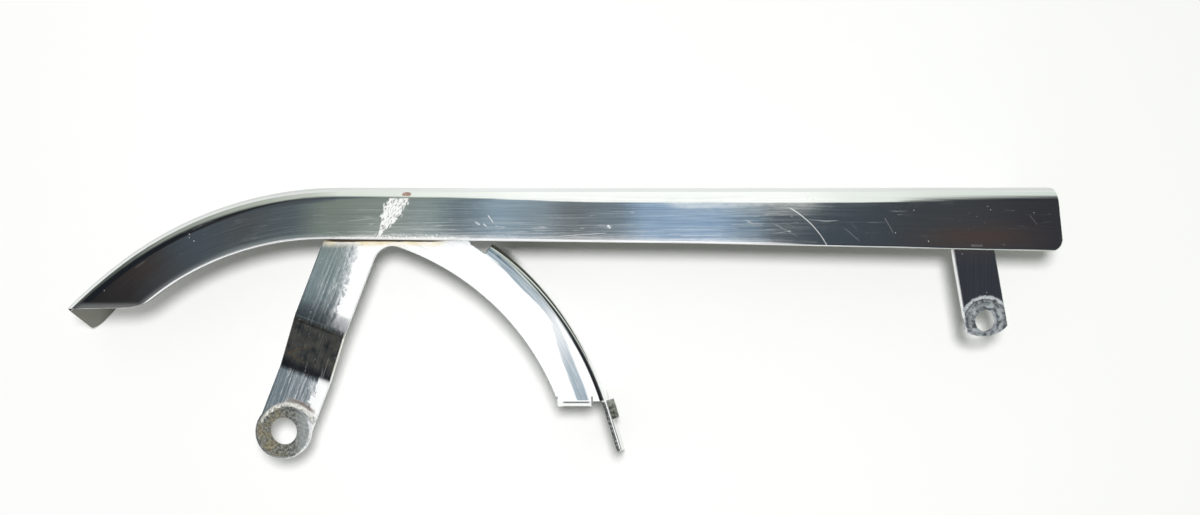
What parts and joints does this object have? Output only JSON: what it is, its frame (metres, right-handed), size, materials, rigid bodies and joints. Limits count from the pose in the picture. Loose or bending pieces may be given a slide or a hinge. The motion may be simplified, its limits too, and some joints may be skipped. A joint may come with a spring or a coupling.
{
  "type": "motorcycle belt guard",
  "caption": "Folded, plated sheet guard over a motorcycle's drive belt, with a curved tail, a forked bracket with a flanged arm and tab, and a short strap.",
  "frame": {"origin": "centre of the main bolt hole, on the back face of the forked bracket's leg", "axes": "+X along the guard to its square end, +Y to the guard's top, +Z out of the outer wall and along the main bolt hole"},
  "size_m": [0.5435, 0.1512, 0.052],
  "materials": {
    "shell_chrome": "polished chrome plate with fine scratches, one flaked patch and a rust chip",
    "bracket_chrome": "polished chrome plate, scratched, with a dull pitted ring round the bolt hole",
    "strap_chrome": "polished chrome plate with a dull ring round the bolt hole",
    "nut_steel": "dull plated steel",
    "weld_steel": "rough plated weld bead with rust tint"
  },
  "bodies": {
    "root": {"guard_shell": "shell_chrome", "fork_bracket": "bracket_chrome", "strap_bracket": "strap_chrome", "tab_nut": "nut_steel", "fork_weld": "weld_steel", "strap_weld": "weld_steel"}
  },
  "joints": []
}
